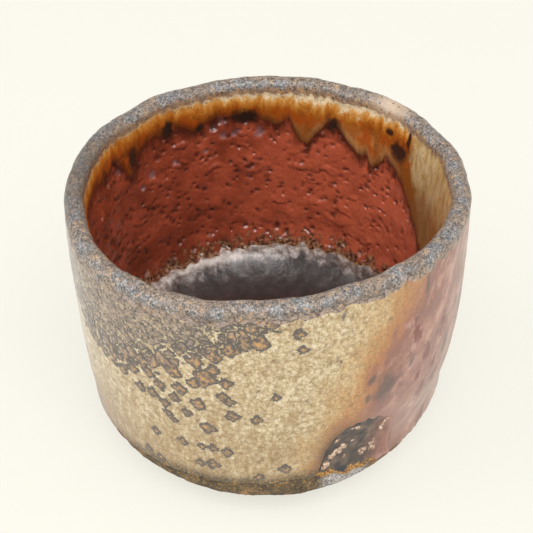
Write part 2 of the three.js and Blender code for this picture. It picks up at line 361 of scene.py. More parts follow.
def clouds(points, size, seed=0):
    """Smooth noise from -1 to 1 with lumps of about the given size, in mm."""
    low = np.floor(points / size)
    share = smooth(0, 1, points / size - low)
    total = 0
    for step in np.ndindex(2, 2, 2):
        weight = np.prod(np.where(step, share, 1 - share), axis=-1)
        total = total + weight * scrambled(low + step, seed)
    return 2 * total - 1


def lumpy(points, *layers):
    """The sum, over layers of (height, size, seed), of height times clouds of that size and seed."""
    return sum(height * clouds(points, size, seed) for height, size, seed in layers)


def stirred(points, size, reach, seed=0):
    """Points moved by clouds of the given size, up to the given reach along each axis."""
    return points + reach * np.stack([clouds(points, size, seed + i) for i in range(3)], -1)


def seeds_near(points, spacing, seed=0):
    """Distances in mm to the nearest seed and to the next one. Seeds lie one to a cube, and the
    spacing is the cube's side."""
    low = np.floor(points / spacing)
    first = np.full(points.shape[:-1], np.inf)
    second = first
    for step in np.ndindex(3, 3, 3):
        cube = low + step - 1
        spot = np.stack([cube[..., i] + scrambled(cube, seed + i) for i in range(3)], -1)
        gap = np.linalg.norm(points / spacing - spot, axis=-1)
        second = np.minimum(second, np.maximum(first, gap))
        first = np.minimum(first, gap)
    return first * spacing, second * spacing


print("Clouds at three points:", clouds(skin[0, :3], 2.0).round(2))

# %% [markdown]
# ## Relief
#
# The skin is moved along its normals by a relief, in millimetres. Inside, gas burst through the red
# glaze and left pits with soft rims, and the glaze drew together in creases. The ash runs stand
# proud with a rounded edge. The lip is gritty, and the bare clay lies a little lower than the glaze.

# %% Relief of the inside
CRATERS = (
    (105, 47.4, 0.9), (105.5, 44, 0.9), (101, 44.2, 1.0), (93, 44, 1.2), (134, 40.3, 0.9),
    (139, 38.7, 0.7), (112, 41, 0.6), (109, 46, 0.8), (150, 45.8, 0.8), (124, 40.7, 0.7), (-60, 42, 0.9),
    (-85, 38, 1.0), (-120, 41, 0.8), (-150, 40, 0.9),
)
RED_RADIUS = 33.5


def ovals(angle, height, radius, places):
    """How far a point is from the middle of each oval place, as a share of the oval's half sizes: the
    root of across squared plus up squared. A place is an angle, a height, a half width and a half
    height, or one size for both."""
    return np.stack([np.hypot(away_from(angle, middle) * radius / half[0], (height - level) / half[-1])
                     for middle, level, *half in places])


relief = np.zeros(skin.shape[:2])
grit = lumpy(skin, (0.13, 5.0, 51), (0.09, 1.7, 52), (0.06, 0.7, 53))
red = bands["inner_glaze"]
red_points = skin[red]
red_height = red_points[..., 2]
below_ash = ash_edge(angle) - red_height
above_pool = red_height - pool_edge(angle)
uneven = stirred(red_points * (1, 1, 1.2), 1.4, 0.5, seed=21)
pit_size = np.maximum(0.5 + 0.4 * clouds(red_points, 2.2, seed=22), 0.12)
pits = hump(seeds_near(uneven, 1.8, seed=23)[0], pit_size)
pinholes = hump(seeds_near(uneven, 1.7, seed=24)[0], 0.3)
crater_gaps = ovals(angle, red_height, RED_RADIUS, CRATERS) + 0.55 * clouds(red_points, 0.9, seed=20)
craters = np.exp(-crater_gaps ** 4).max(0)

# The glaze sagged as it ran: each wave grows downwards, then drops back over a fifth of its height
SAG_HEIGHT = 4.4
crest = red_height + lumpy(red_points, (1.8, 5.0, 25), (0.9, 2.0, 26))
down = 1 - crest / SAG_HEIGHT % 1
sagged = smooth(0.05, 0.5, clouds(red_points, 2.6, seed=27))
waves = down * smooth(1, 0.8, down) * sagged
creases = hump(down - 0.93, 0.07) * sagged
lumps = lumpy(red_points, (0.1, 1.8, 28), (0.26, 4.5, 29))
calm = smooth(0, 1.2, below_ash) * smooth(0, 1.2, above_pool)
dips = 0.42 * pits + 0.15 * pinholes + 0.3 * craters
DEEPEST = -0.52
relief[red] = calm * np.maximum(lumps + 0.42 * waves - dips, DEEPEST)

ash = bands["ash_runs"]
ash_height = skin[ash][..., 2]
above_edge = ash_height - ash_edge(angle)
below_lip = lip_edge_inside(angle) - ash_height
run_body = 0.28 * (1 - np.exp(-above_edge / 1.3)) * smooth(0, 3, below_lip)
run_body = run_body + 0.1 * smooth(0, 2, above_edge) * clouds(skin[ash] * (1, 1, 0.4), 2.4, seed=31)
relief[ash] = run_body + (grit[ash] - run_body) * smooth(2.0, 0, below_lip)

pool = bands["floor_pool"]
to_edge = pool_edge(angle) - skin[pool][..., 2]
relief[pool] = lumpy(skin[pool], (0.12, 5.0, 33), (0.12, 1.8, 34)) * smooth(0, 1.5, to_edge)
print("Deepest pit, mm:", relief[red].min().round(2))

# %% [markdown]
# ### Iron spots
#
# Flying ash carried iron to the windward side. It fused into a grey crust under the lip, and below
# it froze as separate spots with dark rims. What the finish needs is how far each point of the glaze
# is from the edge of the nearest spot: below zero inside and above zero outside. A finish can cut
# that smooth number at any level, so the rims stay crisp at any distance.

# %% Spots on the outer glaze
SPOTS = (
    (-148, 34, 1.5), (-144, 33, 1.3), (-139, 34.5, 1.5), (-136, 32, 1.4), (-131.5, 34, 1.5),
    (-127.5, 37.5, 1.7), (-125.5, 35, 1.4), (-117, 38, 1.8), (-107.5, 38.5, 2.3), (-104.5, 44.5, 1.7),
    (-100, 46.5, 1.8), (-96, 48, 1.5), (-92, 48.5, 1.9), (-129.5, 30, 1.3), (-122, 33, 1.4),
    (-125, 30, 1.4), (-121, 28.5, 1.3), (-117.5, 31, 1.3), (-115.5, 34, 1.6), (-120.5, 26, 1.1),
    (-118.5, 24.8, 1.0), (-114, 28, 1.2), (-110, 31.2, 1.6), (-107.5, 25.2, 1.6), (-102.5, 34.5, 1.3),
    (-100.7, 33.4, 1.2), (-101.5, 38, 1.4), (-100, 29.6, 1.5), (-93, 29, 1.2), (-87.5, 35, 1.0),
    (-126, 19, 1.1), (-116.5, 19.2, 1.2), (-110, 19.4, 1.0), (-106.5, 19.6, 1.1), (-102, 19, 1.3),
    (-111, 14.4, 1.1), (-107, 14.8, 1.4), (-131, 12, 1.0), (-126, 11.4, 1.0), (-84.5, 14.8, 1.3),
    (-92.5, 12.6, 1.0), (-81.5, 50.4, 1.3), (-80.5, 46.6, 1.1), (-111, 36.5, 1.4), (-120, 40, 1.5),
    (-110, 42, 1.6), (-134, 37, 1.6), (-142, 37, 1.6), (-123.5, 39, 1.5), (-105, 41, 1.4),
)
LEE_SPOTS = 60


def crust_edge(angle):
    """Lower edge of the fused crust: close under the lip at the right, and deep at the left."""
    return crown(angle) + 3 - 24 * bump(angle, -143, 50)


# Spots packed like cells: the glaze between two of them is a strait that widens below the crust
outer = bands["outer_glaze"]
glaze_points = skin[outer]
glaze_height = glaze_points[..., 2]
radius_here = np.hypot(glaze_points[..., 0], glaze_points[..., 1])
in_crust = glaze_height - crust_edge(angle) + 1.5 * clouds(glaze_points, 4.0, seed=41)
first, second = seeds_near(stirred(glaze_points, 1.2, 0.35, seed=42), 2.3, seed=43)
strait = 0.05 + 1.1 * smooth(0.5, -5, in_crust) + 0.14 * clouds(glaze_points, 3.0, seed=46)
spot_gap = np.maximum(strait, 0.06) - (second - first) / 2
spot_gap = spot_gap * (1 + 1.4 * smooth(-4, 1, in_crust))
draw = np.random.default_rng(44)
lee = np.stack([draw.uniform(95, 200, LEE_SPOTS), 46 - draw.exponential(10, LEE_SPOTS),
                draw.uniform(0.7, 1.6, LEE_SPOTS)], -1)
for middle, height, size in (*SPOTS, *lee):
    across = away_from(angle, middle) * radius_here
    rise = glaze_height - height
    round_it = np.arctan2(rise, across)
    corners = 1 + 0.13 * np.cos(4 * round_it + draw.uniform(-1, 1)) + 0.1 * np.cos(3 * round_it + middle)
    spot_gap = np.minimum(spot_gap, np.hypot(across, rise) - size * corners)
spot_gap = spot_gap + 0.2 * clouds(glaze_points, 0.7, seed=45)
print("Share of the outer glaze under spots and crust:", (spot_gap < 0).mean().round(2))

# %% [markdown]
# ### The outside in relief
#
# The outer glaze keeps faint unevenness from the hand, the spots stand a little proud, and the glaze
# ends in a thick bead. Under it the bare clay is rough and lies a little deeper, and deeper still
# where the scar patch covers it.

# %% Relief of the lip, the outside and the bare clay
def hand_marks(points):
    """Faint unevenness that the hand left: broad clouds and a few finer ones."""
    return lumpy(points, (0.16, 10.0, 54), (0.05, 2.5, 55))


lip = bands["lip_coat"]
relief[lip] = grit[lip]
above_edge_out = glaze_height - scar_edge(angle)
below_crust = lip_edge_outside(angle) - glaze_height
hand = hand_marks(glaze_points)
beaded = 1 - bump(angle, -20, 32) - bump(angle, -165, 22)
bead = 0.3 * hump(above_edge_out, 1.0) * beaded * (1 - bump(angle, -49, 9))
crusted = smooth(0.2, -0.6, spot_gap)
glaze_relief = hand + bead + 0.1 * crusted + crusted * (grit[outer] - hand) * 0.7
relief[outer] = glaze_relief + (grit[outer] - glaze_relief) * smooth(1.0, 0, below_crust)

BARE_DEPTH = 0.3
COVERED_DEPTH = 0.6
CLAY_GRIT = 1.5
bare = bands["clay_wall"]
disc = bands["clay_base_disc"]
under_patch = smooth(0, 0.6, skin[bare][..., 2] - glaze_line(angle))
relief[bare] = CLAY_GRIT * grit[bare] - BARE_DEPTH - COVERED_DEPTH * under_patch
turned_under = smooth(6.0, 3.0, skin[disc][..., 2])
relief[disc] = CLAY_GRIT * grit[disc] * (1 - turned_under) - BARE_DEPTH - COVERED_DEPTH * turned_under
joint = disc.start
relief[joint] = relief[joint - 1]
relief[bare.start] += (hand[-1] - relief[bare.start]) * under_patch[0]
fired = skin + skin_normal * relief[..., None]
fired_normal = facing(fired)
fired_normal[bare.start] = facing(fired[outer])[-1]
print("Relief, mm:", relief.min().round(2), "to", relief.max().round(2))

# %% [markdown]
# ## From grids to closed pieces
#
# A coat is a thin solid, so its grid goes up the face that shows and comes back down a hidden face
# against the clay, and the last row meets the first. The shading normals come from the whole skin, so
# the light doesn't break where two coats meet.

# %% Build a closed piece
HIDDEN_ROWS = 8


def closed_piece(name, points, normals, fields, poles=False):
    """Turn a grid of points, in mm, into a mesh that closes round its columns. Its rows close too, or
    with poles each end row is drawn together in one point. Fields become vertex attributes."""
    rows, columns = points.shape[:2]
    index = np.arange(rows * columns).reshape(rows, columns)
    beside = np.roll(index, -1, axis=1)
    quads = np.stack([index, np.roll(index, -1, axis=0), np.roll(beside, -1, axis=0), beside], -1)
    corners = points.reshape(-1, 3)
    facing_out = normals.reshape(-1, 3)
    faces = quads.reshape(-1, 4).tolist()
    values = {field: np.broadcast_to(grid, (rows, columns)).ravel() for field, grid in fields.items()}
    if poles:
        first, last = rows * columns, rows * columns + 1
        corners = np.concatenate([corners, points[[0, -1]].mean(1)])
        facing_out = np.concatenate([facing_out, normals[[0, -1]].mean(1)])
        values = {field: np.append(grid, grid[[0, -1]]) for field, grid in values.items()}
        faces = quads[:-1].reshape(-1, 4).tolist()
        faces += np.stack([index[0], beside[0], np.full(columns, first)], -1).tolist()
        faces += np.stack([beside[-1], index[-1], np.full(columns, last)], -1).tolist()
    mesh = bpy.data.meshes.new(name)
    mesh.from_pydata((corners * MM).tolist(), [], faces, shade_flat=False)
    for field, grid in values.items():
        mesh.attributes.new(field, "FLOAT", "POINT").data.foreach_set("value", grid.astype(np.float32))
    mesh.normals_split_custom_set_from_vertices(facing_out.tolist())
    piece = bpy.data.objects.new(name, mesh)
    bpy.context.collection.objects.link(piece)
    print(name, "has", len(mesh.polygons), "faces")
    return piece


def coat(name, fields, poles=False):
    """A coat: the fired skin's band of rows, then the plain skin at the coat's depth on the way back."""
    band = bands[name]
    rows = band.stop - band.start
    back = np.linspace(rows - 1, 0, HIDDEN_ROWS).round().astype(int)
    hidden = (skin[band] - COAT * skin_normal[band])[back]
    points = np.concatenate([fired[band], hidden])
    normals = np.concatenate([fired_normal[band], -skin_normal[band][back]])
    shown = {field: np.broadcast_to(grid, (rows, COLUMNS)) for field, grid in fields.items()}
    full = {field: np.concatenate([grid, grid[back]]) for field, grid in shown.items()}
    return closed_piece(name, points, normals, full, poles)


# %% [markdown]
# ### What the finishes need to know
#
# Each coat carries a few numbers on its vertices: how far a point is from the coat's edge, how deep
# in a pit it lies, or how far the flame reached it. The materials read them by name.

# %% Fields for the coats
DARK_DRIPS = (
    (159, 48.2, 0.8, 1.6), (143, 46.6, 1.5, 2.9), (126.5, 49.2, 1.3, 2.0), (114, 47.2, 1.3, 1.0),
    (98, 48.0, 2.4, 1.8), (67, 47.6, 1.7, 1.4), (40, 47.2, 1.9, 2.6), (45, 50.6, 0.8, 0.9),
    (36, 51.6, 0.6, 2.2),
)
ASH_RADIUS = 34.5
OUTSIDE_RADIUS = 36
MM_PER_DEGREE = 0.61


def drip_gap(points):
    """Distance beyond the edge of the nearest dark drip, as a share of the drip's own size and up to
    three of these, made ragged by clouds."""
    beyond = ovals(angle, points[..., 2], ASH_RADIUS, DARK_DRIPS).min(0) - 1
    return np.minimum(beyond, 3) + lumpy(points, (0.35, 1.4, 61), (0.2, 0.6, 62))


def outline_gap(angle, height, outline):
    """Distance in mm from a closed outline of (degrees, mm) points, below zero inside. It is the least
    distance to a side; a point is inside when a level line from it crosses an odd number of sides."""
    x = np.degrees(angle) * MM_PER_DEGREE + 0 * height
    corners = np.array(outline) * (MM_PER_DEGREE, 1)
    gap = np.full(x.shape, np.inf)
    within = np.zeros(x.shape, bool)
    for (x0, y0), (x1, y1) in zip(corners, np.roll(corners, -1, axis=0)):
        along = ((x - x0) * (x1 - x0) + (height - y0) * (y1 - y0)) / ((x1 - x0) ** 2 + (y1 - y0) ** 2)
        along = np.clip(along, 0, 1)
        gap = np.minimum(gap, np.hypot(x - x0 - along * (x1 - x0), height - y0 - along * (y1 - y0)))
        straddles = (y0 > height) != (y1 > height)
        within ^= straddles & (x < x0 + (height - y0) * (x1 - x0) / (y1 - y0))
    return np.where(within, -gap, gap)


def marks(points, places):
    """The strongest of soft oval marks, each a hump of the way to its edge."""
    return hump(ovals(angle, points[..., 2], OUTSIDE_RADIUS, places).min(0), 1)


RED_MARKS = (
    (-29.5, 37.5, 1.7, 3.0), (-38, 34, 1.5, 2.6), (-36.5, 23, 1.7, 3.0), (-30, 24.5, 1.5, 3.0),
    (-44, 41, 1.2, 3.5), (-25, 10, 2.0, 3.0), (-33, 29, 1.2, 2.0), (-41, 29, 1.0, 1.8),
    (-12, 33, 2.0, 5.0), (2, 22, 2.5, 4.0), (14, 38, 2.0, 6.0), (27, 27, 2.2, 4.0), (38, 40, 1.6, 5.0),
    (48, 20, 2.4, 3.0),
)
SOOT_MARKS = (
    (-26, 30.5, 1.0, 3.2), (-59, 34.7, 0.9, 1.5), (-60.3, 30, 0.7, 1.2), (-40, 51.3, 0.45, 3.4),
    (-20, 38.5, 0.7, 1.8), (-45, 34.6, 0.9, 1.6), (-69.5, 53, 0.6, 1.2), (-54, 31.5, 3.0, 3.4),
    (-3, 44, 0.8, 2.5), (20, 18, 1.5, 2.0), (33, 47, 0.6, 3.0),
)
from_fire = np.degrees(np.abs(away_from(angle, 5)))
blush = (75 - 0.5 * (glaze_height - 40) - from_fire) / (27 + 1.2 * np.maximum(glaze_height - 40, 0))
# What the noises that the finish adds to the blush come to on average
NOISE_SHARE = 0.65
row_gaps = np.linalg.norm(np.diff(skin[lip], axis=0, prepend=skin[lip][:1]), axis=-1)
across_lip = np.cumsum(row_gaps, axis=0)

pieces = {
    "floor_pool": coat("floor_pool", {
        "to_edge": to_edge,
        # painted highlight: paler and with glints along the pool's back edge, brightest at the back left
        "painted_highlight_back": bump(angle, 108, 42),
        "glint": bump(angle, 108, 36) * hump(skin[pool][..., 2] - FLOOR - 4.9, 0.9),
    }, poles=True),
    "inner_glaze": coat("inner_glaze", {
        # the pits' own dark glaze with painted shade in them, and painted shade along the creases
        "pit_tint_and_shade": np.maximum(pits, 0.5 * creases) * calm,
        # painted reflection: the craters' lilac-grey
        "crater_reflection": craters * calm,
        # painted light and shade: brighter at the right of the inside, darker at the left and low at the
        # back left
        "glow": bump(angle, 45, 75) - 0.4 * smooth(30, 19, red_height) * bump(angle, 130, 35),
        "below_ash": below_ash,
        "above_pool": above_pool,
        "drip": drip_gap(red_points),
    }),
    "ash_runs": coat("ash_runs", {
        "above_edge": above_edge,
        "below_lip": below_lip,
        "drip": drip_gap(skin[ash]),
        "curtain": 0.6 * np.minimum(33.5 - 0.8 * np.maximum(47 - ash_height, 0) - np.degrees(angle),
                                    np.degrees(angle) + 25),
        "cream": bump(angle, 72, 42),
        "golden": bump(angle, 58, 26),
    }),
    "lip_coat": coat("lip_coat", {
        "from_ash": across_lip,
        "to_glaze": across_lip[-1] - across_lip,
        "sooted": bump(angle, 172, 24),
        "tanned": bump(angle, 47, 8),
        # painted highlight: a blue-grey band along the crest, nearer the inner side at the back and the
        # outer side at the front
        "painted_crest_highlight": hump(across_lip / across_lip[-1] - 0.52 + 0.2 * np.sin(angle), 0.17),
    }),
    "outer_glaze": coat("outer_glaze", {
        "spot": spot_gap,
        "crust": smooth(-3, 11, in_crust),
        "blush": np.clip(blush, -1, 1.2) - NOISE_SHARE,
        "red_mark": marks(glaze_points, RED_MARKS),
        "soot": marks(glaze_points, SOOT_MARKS),
        "above_line": glaze_height - glaze_line(angle),
        "beaded": beaded,
        # painted sheen: the upper left of the outer glaze is paled as a grazing reflection would pale it
        "pale": bump(angle, -177, 21) * smooth(16, 30, glaze_height),
        "scar": outline_gap(angle, glaze_height, SCAR_TOP + SCAR_FOOT),
        # partly the glaze's mauve-brown, partly painted shade: darker towards the lower left corner
        "lower_left_brown_and_shade": bump(angle, -165, 24) * smooth(27, 8, glaze_height),
    }),
}

# %% [markdown]
# ## Clay parts
#
# The clay shows only under the glaze line, but each part is made whole: the wall with its heel, the
# disc with its raised middle and groove, and the ring. The rows that show come from the fired skin,
# and the hidden ones follow the CAD section.

# %% Wall, base disc and foot ring
SEAT = 6.6
DISC_TOP = 10.5
HEEL_LAND = 1.5
FOOT_WIDTH = 5.0
FOOT_GROOVE = 0.8
NEAR_AXIS = 0.3
CLAY_FIELDS = {"grey": bump(angle, -63, 10), "warm": 1 - beaded}


def ring_row(radius, height):
    """One row of points at a radius and height, which may each vary round the cup."""
    return placed(radius + 0 * angle, height + 0 * angle)[None]


def clay_wall():
    """The wall's closed section: up its inside, over the lip and down the outside under the coats,
    then the bare strip, the seat and the heel."""
    heel = inner_wall(angle, FILLET_TOP) - INNER_FILLET - HEEL_LAND
    fillet = inside(angle, FILLET_TOP - INNER_FILLET * np.sin(np.pi / 2 * (1 - steps(6))), SKIN)
    up = inside(angle, FILLET_TOP + (lip_start(angle) - FILLET_TOP) * steps(8)[1:], SKIN)
    round_lip = over_lip(angle, np.pi * steps(8)[1:-1], SKIN)
    down = outside(angle, lip_start(angle) + (scar_edge(angle) - lip_start(angle)) * steps(10), SKIN)
    hidden = np.concatenate([ring_row(heel, SEAT), ring_row(heel, DISC_TOP),
                             *(placed(*rows) for rows in (fillet, up, round_lip, down))])
    points = np.concatenate([hidden, fired[bare]])
    return closed_piece("clay_wall", points, facing(points), CLAY_FIELDS)


def clay_base_disc():
    """The disc's closed section: its raised middle, the seat, the corner that shows and the groove."""
    middle = inner_wall(angle, FILLET_TOP) - INNER_FILLET - HEEL_LAND - FIT
    inner = FOOT_RADIUS - FOOT_WIDTH - FIT
    groove = FOOT_HEIGHT + FOOT_GROOVE
    above = [(NEAR_AXIS, DISC_TOP), (middle, DISC_TOP), (middle, SEAT)]
    below = [(FOOT_RADIUS + FIT, groove), (inner, groove), (inner, FOOT_HEIGHT), (NEAR_AXIS, FOOT_HEIGHT)]
    rows_above, rows_below = ([ring_row(*place) for place in side] for side in (above, below))
    points = np.concatenate([*rows_above, fired[disc], *rows_below])
    return closed_piece("clay_base_disc", points, facing(points), CLAY_FIELDS, poles=True)


def foot_ring():
    """A rounded rectangle carried round the axis: the cube roots of cosine and sine give its sides and
    round corners, and it is cut flat where it stands."""
    turn = np.linspace(0, 2 * np.pi, 40, endpoint=False)[:, None]
    top = FOOT_HEIGHT + FOOT_GROOVE
    radius = FOOT_RADIUS - FOOT_WIDTH / 2 + FOOT_WIDTH / 2 * np.cbrt(np.cos(turn))
    height = np.clip(top / 2 - 1.08 * top / 2 * np.cbrt(np.sin(turn)), 0, top) + 0 * angle
    points = placed(radius, height)
    wear = np.clip(height, 0, 1)[..., None] * (top - height)[..., None] / top
    points = points + facing(points) * wear * 0.25 * clouds(points, 1.5, seed=71)[..., None]
    return closed_piece("foot_ring", points, facing(points), CLAY_FIELDS)


pieces["clay_wall"] = clay_wall()
pieces["clay_base_disc"] = clay_base_disc()
pieces["foot_ring"] = foot_ring()

# %% [markdown]
# ## Kiln scar
#
# Where the cup lay in embers the glaze burnt off, and charcoal and grit stuck to the clay. The patch
# fills the notch in the outer glaze. It has its own finer grid, with lumps of grit raised on it.

# %% Scar patch with its grit
GRIT_LUMPS = (
    (-69.2, 15.3, 0.9), (-68.2, 16.2, 0.8), (-67.2, 16.7, 0.9), (-65.6, 17.1, 0.9), (-66.4, 15.6, 0.6),
    (-68.2, 20.0, 0.6), (-71.2, 13.6, 0.9), (-71.9, 12.8, 0.6), (-63.5, 22.6, 0.5), (-62.0, 22.4, 0.6),
    (-57.5, 12.9, 0.8), (-56.2, 13.2, 0.6), (-53.2, 14.3, 0.9), (-53.4, 12.6, 0.8), (-62.2, 17.9, 0.4),
    (-50.3, 20.7, 0.5), (-51.2, 20.0, 0.5), (-52.0, 18.3, 0.5), (-51.6, 19.2, 0.4), (-64.5, 14.0, 0.5),
)
SCAR_COLUMNS, SCAR_ROWS, SCAR_BACK = 150, 90, 10
SCAR_RADIUS = 34
# Angles between which the scar lies, turns ruddy and loses its ochre foot
SCAR_SPAN, RUDDY_SPAN, FOOT_END = np.radians([(-74.5, -44), (-58, -48), (-53, -49)])


def kiln_scar():
    """A closed section at every angle of the notch: up the burnt face between the glaze line and the
    scar's edge, and back down at the coat's depth. The face is sunk between its edges, with a bead of
    glaze along its foot and grit raised on it."""
    around = np.linspace(*SCAR_SPAN, SCAR_COLUMNS)[:, None]
    low = glaze_line(around)
    high = np.maximum(scar_edge(around) + 0.4, low + 0.3)
    share = np.concatenate([np.linspace(0, 1, SCAR_ROWS), np.linspace(1, 0, SCAR_BACK)])
    burnt = np.arange(share.size) < SCAR_ROWS
    height = low + (high - low) * share
    points = placed(*outside(around, height, np.where(burnt, 0, COAT)), around)
    gap = ovals(around, stirred(points, 0.7, 0.3, seed=84)[..., 2], SCAR_RADIUS, GRIT_LUMPS).min(0)
    stuck = np.exp(-gap ** 4) * (1 + 0.5 * clouds(points, 0.7, seed=83))
    rough = lumpy(points, (0.16, 2.2, 81), (0.12, 0.8, 82))
    ruddy = smooth(*RUDDY_SPAN, around)
    sunk = 0.25 * smooth(0, 0.12, share) * smooth(1, 0.8, share) * (1 - ruddy)
    foot_bead = 0.3 * hump(height - low - 0.5, 0.6)
    eased = smooth(1, 0.85, share) * (1 - 0.8 * ruddy)
    tucked = 0.12 * smooth(0.6, 0.3, high - height)
    lift = hand_marks(points) + rough * eased - sunk + foot_bead + 0.5 * stuck - tucked
    lift = np.where(burnt, lift, 0)
    points = points + placed(lift, 0 * height, around)
    fields = {
        "grit": stuck,
        "inside": -outline_gap(around, height, SCAR_TOP + SCAR_FOOT),
        "above_foot": height - low + 2 * smooth(*FOOT_END, around),
        "ruddy": ruddy,
    }
    normals = [facing(side, loop=False) for side in np.split(points, [SCAR_ROWS], axis=1)]
    return closed_piece("kiln_scar", points, np.concatenate(normals, axis=1), fields, poles=True)


pieces["kiln_scar"] = kiln_scar()

# %% [markdown]
# ## Writing materials
#
# A material is a graph of nodes. One small function adds a node: values in order or by name fill its
# inputs, and lower-case names set its options. Colours are written as on screen, in sRGB, and turned
# to the linear values that light works with. Patterns are sized in millimetres.
#
# A fired surface is many thin colours over each other, so each finish starts from one colour and lays
# tints over it. A tint comes up between two values of a guide, which is a pattern or a field.

# %% Helpers for materials
def paint(code):
    """Linear red, green, blue and alpha of an sRGB hex colour: ((c + 0.055) / 1.055) to the 2.4, or
    c / 12.92 for dark channels."""
    channels = np.array([int(code[i:i + 2], 16) / 255 for i in (1, 3, 5)])
    linear = np.where(channels <= 0.04045, channels / 12.92, ((channels + 0.055) / 1.055) ** 2.4)
    return (*linear, 1.0)


def per_mm(size):
    """Texture scale that makes one cell of a pattern this many millimetres wide."""
    return 1 / (size * MM)


def add(tree, kind, *values, out=None, stops=(), **named):
    """Add a node. Values fill its open inputs in order; capitalised names fill the inputs so called,
    and other names set its options. A socket is linked, and anything else is typed in."""
    node = tree.nodes.new("ShaderNode" + kind)
    for name, value in named.items():
        if name[0].islower():
            setattr(node, name, value)
    inputs = [socket for socket in node.inputs if socket.enabled]
    filled = list(zip(inputs, values))
    for name, value in named.items():
        if name[0].isupper():
            socket = next(s for s in inputs if s.name == name.replace("_", " "))
            filled.append((socket, value))
    for socket, value in filled:
        if isinstance(value, bpy.types.NodeSocket):
            tree.links.new(value, socket)
        else:
            socket.default_value = value
    for i, (place, colour) in enumerate(stops):
        element = node.color_ramp.elements[i] if i < 2 else node.color_ramp.elements.new(place)
        element.position = place
        element.color = paint(colour)
    shown = [socket for socket in node.outputs if socket.enabled]
    return next((socket for socket in shown if socket.name == out), shown[0] if shown else None)


def new_finish(name):
    """An empty material, and the function that puts nodes into it."""
    finish = bpy.data.materials.new(name)
    finish.use_nodes = True
    finish.node_tree.nodes.clear()
    return finish, partial(add, finish.node_tree)


def read(put, *fields):
    """The object's own coordinates, and a socket for each field that the vertices carry."""
    sockets = (put("Attribute", attribute_name=name, out="Fac") for name in fields)
    return put("TexCoord", out="Object"), *sockets


def each(put, kind, *rows, **options):
    """Add a node for each row of inputs, all of one kind and with the same options. A row of noise is
    its coordinates, scale, detail and roughness."""
    return [put(kind, *row, **options) for row in rows]


def bent(put, place, size, reach):
    """Coordinates plus the reach, in mm, times noise of the given size: straight lines turn crooked."""
    noise = put("TexNoise", Vector=place, Scale=per_mm(size), Detail=2, out="Color")
    return put("VectorMath", noise, (reach * MM,) * 3, place, operation="MULTIPLY_ADD")


def layered(put, colour, *layers):
    """Lay tints over a colour, one after another. A layer is a tint and its covers, which are
    multiplied. A cover is a socket, or a guide and the values at which the tint starts and is full, with
    the cover at each where these aren't 0 and 1."""
    for tint, *covers in layers:
        amount = None
        for cover in covers:
            share = put("MapRange", *cover) if isinstance(cover, tuple) else cover
            amount = share if amount is None else put("Math", amount, share, operation="MULTIPLY")
        tint = paint(tint) if isinstance(tint, str) else tint
        colour = put("Mix", data_type="RGBA", Factor=amount, A=colour, B=tint)
    return colour


def surfaced(finish, put, colour, height, strength, depth, **surface):
    """End a finish with its surface, and a bump of some strength and of a depth in mm."""
    normal = put("Bump", Height=height, Strength=strength, Distance=depth * MM)
    shader = put("BsdfPrincipled", Base_Color=colour, Normal=normal, **surface)
    put("OutputMaterial", Surface=shader)
    print(finish.name, "has", len(finish.node_tree.nodes), "nodes")
    return finish


# %% [markdown]
# ## Crackled ash glaze
#
# Outside, wood ash melted to a straw-coloured glaze that crackled as it cooled. On the flame side it
# turned ochre, terracotta and mauve, and it is singed brown round the scar. Iron spots have ochre
# middles and dark ragged rims, and high on the windward side they fuse into a dry crust. The gloss is
# soft, because the crackle breaks it up.

